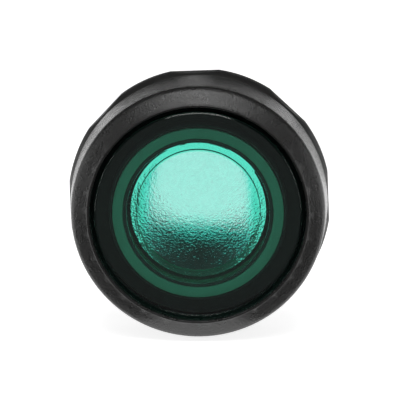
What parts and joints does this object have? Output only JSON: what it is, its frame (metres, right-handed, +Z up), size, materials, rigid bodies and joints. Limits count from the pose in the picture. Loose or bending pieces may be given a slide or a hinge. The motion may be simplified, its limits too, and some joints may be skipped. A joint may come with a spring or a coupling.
{
  "type": "illuminated pushbutton operator",
  "caption": "Flush round pushbutton for a panel hole, with a clear green lens cap, black bezel, threaded barrel, flatted nut and an open light tube behind the lens.",
  "frame": {"origin": "centre of the panel hole, on the panel's front face, where the gasket's back seats", "axes": "+Y along the button axis, from the lens to the rear; +Z up, through the anti-turn nib"},
  "size_m": [0.0312, 0.0281, 0.0312],
  "materials": {
    "bezel_plastic": "spark-textured black polyamide",
    "housing_plastic": "smooth black polyamide",
    "nut_plastic": "spark-textured black polyamide",
    "tube_plastic": "satin black moulding",
    "gasket_rubber": "flat black rubber",
    "boot_silicone": "soft black silicone",
    "lens_green": "clear green polycarbonate",
    "diffuser_clear": "clear, grained behind",
    "spring_steel": "bright spring wire"
  },
  "bodies": {
    "root": {"housing": "housing_plastic", "bezel_ring": "bezel_plastic", "panel_gasket": "gasket_rubber", "fixing_nut": "nut_plastic", "boot_clamp_ring": "housing_plastic", "sealing_boot": "boot_silicone", "return_spring": "spring_steel"},
    "button": {"light_tube": "tube_plastic", "lens_cap": "lens_green", "lens_seal": "gasket_rubber", "diffuser_cup": "diffuser_clear", "spring_retainer": "tube_plastic"}
  },
  "joints": [
    {"name": "press", "type": "slide", "parent": "root", "child": "button", "axis": [0, 1, 0], "range_m": [0, 0.0038], "stiffness_N_per_m": 800, "springref_m": -0.0025, "deforming": ["return_spring", "sealing_boot"]}
  ]
}
